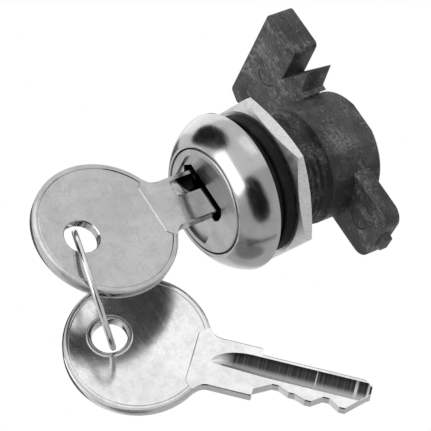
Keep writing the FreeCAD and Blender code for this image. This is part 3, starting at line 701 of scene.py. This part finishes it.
def key_bow(settings, ringed):
    """The bow as a closed band of circles: each station is the outer circle drawn in, or the
    hole's circle drawn out, by an offset, at its own height off the key's middle plane. The rim
    and the ringed side's hole edge stand a little above the coined face."""
    half = settings.half_thickness
    face = half - settings.coin_depth
    line = settings.rim_line
    rim = [
        ("rim", 0.0, half - 0.28),
        ("rim", 0.08, half - 0.10),
        ("rim", 0.28, half),
        ("rim", line, half),
        ("rim", line + 0.10, face - 0.05),
        ("rim", line + 0.20, face),
        ("rim", line + 0.26, face),
    ]
    ring = [
        ("hole", 0.92, face),
        ("hole", 0.85, face),
        ("hole", 0.70, half + 0.02),
        ("hole", 0.42, half + 0.02),
        ("hole", 0.28, face),
        ("hole", 0.14, face - 0.02),
        ("hole", 0.0, face - 0.16),
    ]
    plain = [
        ("hole", 0.92, face),
        ("hole", 0.20, face),
        ("hole", 0.14, face),
        ("hole", 0.0, face - 0.14),
    ]
    near, far = (ring, plain) if ringed else (plain, ring)
    loop = rim + near + [(kind, offset, -height) for kind, offset, height in reversed(rim + far)]
    angle = round_turn(160)
    rows = []
    for kind, offset, height in loop:
        centre = BOW_CENTRE if kind == "rim" else HOLE_CENTRE
        radius = settings.bow_radius - offset if kind == "rim" else settings.hole_radius + offset
        rows.append(np.stack([
            np.full_like(angle, height),
            centre + radius * np.cos(angle),
            KEY_MIDDLE + radius * np.sin(angle),
        ], axis=-1))
    return np.array(rows)


def blade_floor(along):
    """Height of the bitted edge along the blade: straight runs between the cuts' corners, then
    the slope of the tip."""
    places = [SHOULDER]
    heights = [0.0]
    for number, depth in enumerate(CUT_DEPTHS):
        middle = FIRST_CUT + CUT_PITCH * number
        places += [middle - CUT_HALF_FLAT, middle + CUT_HALF_FLAT]
        heights += [depth, depth]
    places += [BLADE_END - 1.6, BLADE_END]
    heights += [2.4, 4.0]
    return BLADE_BOTTOM + np.interp(along, places, heights)


def shank_height(settings, along):
    """Half height of the shank, flared by the arc of a fillet where it meets the bow, and drawn
    in at 45 degrees at its very start."""
    fillet = settings.neck_fillet
    corner_run = 1.3
    inward = np.clip(-11.57 - along, 0.0, 2.23)
    flare = fillet - np.sqrt(fillet ** 2 - inward ** 2)
    corner = np.clip(corner_run - (along - SHANK_START), 0.0, corner_run)
    return settings.shank_half + flare - corner


def leaf_groove(settings, along):
    """Low edge, high edge and depth of the long groove: its low edge runs nearly straight from a
    point on the shank and its high edge leaves the point as a quarter ellipse."""
    from_point = along + 12.4
    run = np.clip(from_point / 6.5, 0.0, 1.0)
    low = 1.15 - 0.35 * np.clip(from_point / 9.0, 0.0, 1.0)
    high = 1.15 + 3.05 * np.sqrt(np.clip(1 - (1 - run) ** 2, 0.0, 1.0))
    return low, high, settings.leaf_depth * np.clip(run * 1.8, 0.0, 1.0)


def step_groove(settings, along):
    """Low edge, high edge and depth of the short groove: a ramp, then an even depth. It is wider
    on the shank than on the blade."""
    run = np.clip((along + 9.9) / 1.6, 0.0, 1.0)
    spread = np.clip((along + 9.95) / 0.1, 0.0, 1.0)
    reach = np.where(along < SHOULDER - 0.4, 1.55, 1.3)
    middle = 2.0 + reach
    return middle - reach * spread, middle + reach * spread, settings.step_depth * run


def blade_places():
    """Places of the blade's sections along the key, close together where its form changes."""
    return np.unique(np.concatenate([
        [SHANK_START, SHANK_START + 0.26, SHANK_START + 0.30],
        np.linspace(SHANK_START + 0.4, -11.5, 24),
        np.linspace(-11.4, SHOULDER - 0.3, 50),
        [SHOULDER - 0.18, SHOULDER - 0.08, SHOULDER - 0.02, SHOULDER + 0.01],
        np.linspace(SHOULDER + 0.2, BLADE_END - 0.9, 140),
        np.linspace(BLADE_END - 0.8, BLADE_END, 10),
    ]))


def key_blade(settings, leaf_near):
    """The shank and blade as one loft: at each place along the key a closed section, whose lower
    edge follows the cuts and whose two faces dip into the milled grooves. The shank's corner at
    the shoulder is an arc of 0.35 mm. Each column of the section is its distance off the middle
    plane, its height, whether it is groove floor, and its share of the way down the groove."""
    along = blade_places()
    on_shank = along <= SHOULDER
    start_slope = np.clip(1 - (along - SHANK_START) / 0.26, 0.0, 1.0)
    half = settings.half_thickness + 0.02 - 0.1 * start_slope
    round_off = 0.35
    in_corner = np.clip(along - SHOULDER + round_off, 0.0, round_off)
    drop = round_off - np.sqrt(np.clip(round_off ** 2 - in_corner ** 2, 0.0, None))
    shank = shank_height(settings, along)
    low = np.where(on_shank, KEY_MIDDLE - shank + drop, blade_floor(along))
    high = np.where(on_shank, KEY_MIDDLE + shank - drop, BLADE_TOP)
    tip_run = 1.3
    high = high - np.clip(along - (BLADE_END - tip_run), 0, None) / tip_run
    chamfer = 0.16
    lip = 0.06
    near, far = (leaf_groove, step_groove) if leaf_near else (step_groove, leaf_groove)
    section, milled, down, black = [], [], [], []
    for side, groove in ((1, near), (-1, far)):
        leaf = 1.0 if groove is leaf_groove else 0.0
        bottom, top, depth = groove(settings, along)
        middle, reach = (bottom + top) / 2, (top - bottom) / 2
        columns = [
            (half - chamfer, high, 0, 0),
            (half, high - chamfer, 0, 0),
            (half, top + lip, 0, 0),
        ]
        for step in np.linspace(1.0, -1.0, 9):
            dip = depth * (1 - step ** 2) ** 0.8
            columns.append((half - dip, middle + reach * step, 1, (1 - step) / 2))
        columns += [
            (half, bottom - lip, 0, 1),
            (half, low + chamfer, 0, 1),
            (half - chamfer, low, 0, 1),
        ]
        for across, up, floor, share in columns[::side]:
            up = np.minimum(np.maximum(up, low), high)
            section.append(np.stack([across * side, along, up], axis=-1))
            milled.append(floor * leaf * np.clip(depth / 0.30 - 0.6, 0.0, 1.0))
            down.append(np.full_like(along, share * leaf))
            # painted shade and painted reflection of the dark keyway on the short groove's floor, past a line
            # that slants down the groove near the plug's face
            black.append(floor * (1 - leaf) * np.clip((along + 8.5 - 1.1 * share) / 0.15, 0.0, 1.0))
    points = np.stack(section, axis=1)
    marks = {
        "milled": np.stack(milled, axis=1),
        "down": np.stack(down, axis=1),
        "along": points[:, :, 1].copy(),
        "black": np.stack(black, axis=1),
    }
    return points, marks


def placed(points, matrix):
    """Carries points from the key's own frame to its place in the row frame."""
    turn = np.array(matrix.to_3x3())
    move = np.array(matrix.translation)
    return points @ turn.T + move


def spare_key_place():
    """The spare key's place on the ring, as its axes and the centre of its bow give it."""
    normal = SPARE_NORMAL.normalized()
    blade = (SPARE_BLADE - normal * SPARE_BLADE.dot(normal)).normalized()
    matrix = Matrix((normal, blade, normal.cross(blade))).transposed().to_4x4()
    matrix.translation = SPARE_BOW_CENTRE - matrix.to_3x3() @ Vector((0, BOW_CENTRE, KEY_MIDDLE))
    return matrix


class DressKeys(bpy.types.Operator):
    """Makes both keys."""

    bl_idname = "drawer_lock.keys"
    bl_label = "Keys"

    def execute(self, context):
        settings = context.scene.lock_key
        # both keys are one plate: the key's lower level than the spare's is painted shade
        self.dress(settings, "key", "key", Matrix.Identity(4), False, 0.55)
        self.dress(settings, "spare_key", "spare", spare_key_place(), True, 0.62)
        return {"FINISHED"}

    def dress(self, settings, node, body, place, turned_over, level):
        bow = grid_object(node + "_bow", placed(key_bow(settings, turned_over), place))
        finish_piece(bow, body, [satin_nickel("satin_nickel_" + node, level, 0.13, 0.40)], 35)
        points, marks = key_blade(settings, turned_over)
        blade = grid_object(node + "_blade", placed(points, place), closed_rows=False, marks=marks)
        finish_piece(blade, body, [milled_nickel("milled_nickel_" + node, level)], 25)
        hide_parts(node)
        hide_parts(node)


class DressRing(bpy.types.Operator):
    """Makes the wire ring: a circle of the wire's section swept about the ring's centre."""

    bl_idname = "drawer_lock.ring"
    bl_label = "Key ring"

    def execute(self, context):
        normal = RING_NORMAL / np.linalg.norm(RING_NORMAL)
        first = np.cross(normal, [0.0, 0.0, 1.0])
        first /= np.linalg.norm(first)
        second = np.cross(normal, first)
        angle = round_turn(192)[:, None, None]
        around = round_turn(20)[None, :, None]
        spoke = first * np.cos(angle) + second * np.sin(angle)
        wire = spoke * np.cos(around) + normal * np.sin(around)
        piece = grid_object("wire_ring", RING_CENTRE + spoke * RING_RADIUS + wire * WIRE_RADIUS)
        finish_piece(piece, "ring", [bright_wire("bright_ring_wire")], 60)
        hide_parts("key_ring")
        return {"FINISHED"}


class DressInnerNodes(bpy.types.Operator):
    """Gives the nodes that stay their materials."""

    bl_idname = "drawer_lock.inner_nodes"
    bl_label = "Inner pieces"

    def execute(self, context):
        finishes = {
            "drive_cam": bright_plate("plain_zinc_cam", 0.45),
            "cam_screw": bright_plate("plain_steel_screw"),
            "case_pin": bright_plate("plain_steel_pin"),
        }
        brass = plain_brass("plain_brass_wafers")
        spring = bright_wire("plain_steel_spring")
        for name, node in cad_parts.items():
            if "spring" in name:
                finish = spring
            elif name.startswith("wafer"):
                finish = brass
            else:
                finish = finishes.get(name)
            if finish is not None:
                node.data.materials.clear()
                node.data.materials.append(finish)
        return {"FINISHED"}


STAGE_MIDDLE = Vector((-0.002, -0.004, -0.003))
UP = Vector((0.0, 0.0, 1.0))
SKY_STRENGTH = 0.75
FLOOR_GREY = 0.85
FLOOR_HALF = 4.0
FLOOR_HEIGHT = -0.6
CARD_CORNERS = 48
CARD_POWER = 0.75


def facing_axes(way, rise):
    """Axes of a flat thing that stands off along a way: across it, up it and along the way."""
    facing = way.normalized()
    up = (rise - facing * rise.dot(facing)).normalized()
    return up.cross(facing), up, facing


def add_lamp(scene, name, way, far, wide, tall, watts):
    """A soft lamp that faces the lock from a way, far metres off, wide by tall metres."""
    across, up, facing = facing_axes(Vector(way), UP)
    light = bpy.data.lights.new(name, "AREA")
    light.shape = "RECTANGLE"
    light.size = wide
    light.size_y = tall
    light.energy = watts
    lamp = bpy.data.objects.new(name, light)
    turn = Matrix((across, up, facing)).transposed().to_4x4()
    turn.translation = STAGE_MIDDLE + facing * far
    lamp.matrix_world = turn
    lamp.visible_camera = False
    scene.collection.objects.link(lamp)


def add_card(scene, name, way, far, wide, tall, level, rise=UP, shades=False):
    """A dark card that is seen in the plated pieces. Its outline is a superellipse: each
    coordinate is the cosine or the sine to a power, with its sign. One that shades also keeps
    light off the castings."""
    across, up, facing = facing_axes(Vector(way), Vector(rise))
    middle = STAGE_MIDDLE + facing * far
    outline = []
    for step in range(CARD_CORNERS):
        turn = math.tau * step / CARD_CORNERS
        side = math.copysign(abs(math.cos(turn)) ** CARD_POWER, math.cos(turn)) * wide / 2
        height = math.copysign(abs(math.sin(turn)) ** CARD_POWER, math.sin(turn)) * tall / 2
        outline.append(tuple(middle + across * side + up * height))
    sheet = bpy.data.meshes.new(name)
    sheet.from_pydata(outline, [], [tuple(range(CARD_CORNERS))[::-1]])
    card = bpy.data.objects.new(name, sheet)
    card.visible_camera = False
    card.visible_shadow = False
    card.visible_diffuse = shades
    paint = Finish(name + "_paint")
    sheet.materials.append(paint.surface(Base_Color=grey(level), Roughness=1.0, Specular_IOR_Level=0.0))
    scene.collection.objects.link(card)


class SetStage(bpy.types.Operator):
    """Makes the camera, the lamps, the cards, the floor and the world."""

    bl_idname = "drawer_lock.stage"
    bl_label = "Stage"

    def execute(self, context):
        scene = context.scene
        scene.view_settings.view_transform = "Standard"
        self.set_camera(scene)
        add_lamp(scene, "front_lamp", (0.36, -0.86, 0.20), far=0.50, wide=0.22, tall=0.50, watts=0.80)
        add_lamp(scene, "right_lamp", (0.91, -0.02, 0.44), far=0.50, wide=0.26, tall=0.26, watts=0.12)
        add_lamp(scene, "top_lamp", (-0.25, 0.30, 0.92), far=0.60, wide=0.50, tall=0.50, watts=0.40)
        add_card(scene, "left_card", (-0.88, -0.03, 0.46), far=0.45, wide=0.34, tall=0.34, level=0.16)
        add_card(
            scene, "top_card", (0.14, -0.40, 0.91), far=0.42, wide=0.25, tall=0.48, level=0.01,
            rise=(0.58, -0.22, -0.19))
        add_card(
            scene, "right_card", (0.50, -0.60, -0.62), far=0.55, wide=0.38, tall=0.66, level=0.005,
            rise=(-0.44, 0.15, -0.52), shades=True)
        add_card(scene, "back_card", (-0.30, 0.71, 0.63), far=0.60, wide=0.40, tall=0.30, level=0.05)
        add_card(
            scene, "under_card", (-0.70, -0.35, -0.62), far=0.50, wide=0.36, tall=0.30, level=0.35,
            shades=True)
        self.set_floor(scene)
        self.set_world(scene)
        return {"FINISHED"}

    def set_camera(self, scene):
        """The photograph's camera: its lens is the focal length in pixels times the sensor's
        width over the picture's width."""
        lens = bpy.data.cameras.new("photo_camera")
        lens.sensor_width = SENSOR_WIDTH
        lens.lens = FOCAL_PIXELS * SENSOR_WIDTH / PHOTO_WIDTH
        lens.clip_start = 0.01
        lens.clip_end = 20.0
        camera = bpy.data.objects.new("photo_camera", lens)
        turn = Matrix((CAMERA_RIGHT, -CAMERA_DOWN, -CAMERA_FORWARD)).transposed().to_4x4()
        turn.translation = CAMERA_PLACE * MM
        camera.matrix_world = turn
        scene.collection.objects.link(camera)
        scene.camera = camera

    def set_floor(self, scene):
        half, height = FLOOR_HALF, FLOOR_HEIGHT
        corners = [(-half, -half, height), (half, -half, height), (half, half, height), (-half, half, height)]
        mesh = bpy.data.meshes.new("pale_floor")
        mesh.from_pydata(corners, [], [(0, 1, 2, 3)])
        floor = bpy.data.objects.new("pale_floor", mesh)
        scene.collection.objects.link(floor)
        paint = Finish("pale_floor_paint")
        mesh.materials.append(paint.surface(Base_Color=grey(FLOOR_GREY), Roughness=0.8))

    def set_world(self, scene):
        """White where the camera or a reflection sees it, and a plain level as a light."""
        world = bpy.data.worlds.new("white_studio")
        world.use_nodes = True
        scene.world = world
        nodes = Nodes(world.node_tree)
        seen, mirrored, refracted = nodes.node(
            "ShaderNodeLightPath", output=("Is Camera Ray", "Is Glossy Ray", "Is Transmission Ray"))
        shown = seen.larger(mirrored).larger(refracted)
        backdrop = nodes.node("ShaderNodeBackground", None, {"Color": WHITE, "Strength": 1.0})
        sky = nodes.node("ShaderNodeBackground", None, {"Color": WHITE, "Strength": SKY_STRENGTH})
        both = nodes.node("ShaderNodeMixShader", None, {0: shown, 1: sky, 2: backdrop})
        nodes.node("ShaderNodeOutputWorld", None, {"Surface": both}, None)


class DrawerLockPanel(bpy.types.Panel):
    """Lists the lock's pieces in the sidebar."""

    bl_idname = "VIEW3D_PT_drawer_lock"
    bl_label = "Drawer lock"
    bl_space_type = "VIEW_3D"
    bl_region_type = "UI"
    bl_category = "Drawer lock"

    def draw(self, context):
        for operator in OPERATORS:
            self.layout.operator(operator.bl_idname)


OPERATORS = (
    SetStage, DressBezel, DressBarrel, DressRings, DressNut, DressCastings, DressPlug, DressKeys, DressRing,
    DressInnerNodes,
)
CLASSES = (LockTrimSettings, LockKeySettings) + OPERATORS + (DrawerLockPanel,)


def register():
    for kind in CLASSES:
        bpy.utils.register_class(kind)
    bpy.types.Scene.lock_trim = bpy.props.PointerProperty(type=LockTrimSettings)
    bpy.types.Scene.lock_key = bpy.props.PointerProperty(type=LockKeySettings)


def unregister():
    del bpy.types.Scene.lock_key
    del bpy.types.Scene.lock_trim
    for kind in reversed(CLASSES):
        bpy.utils.unregister_class(kind)


def main():
    register()
    for operator in OPERATORS:
        family, name = operator.bl_idname.split(".")
        getattr(getattr(bpy.ops, family), name)()


if __name__ == "__main__":
    main()
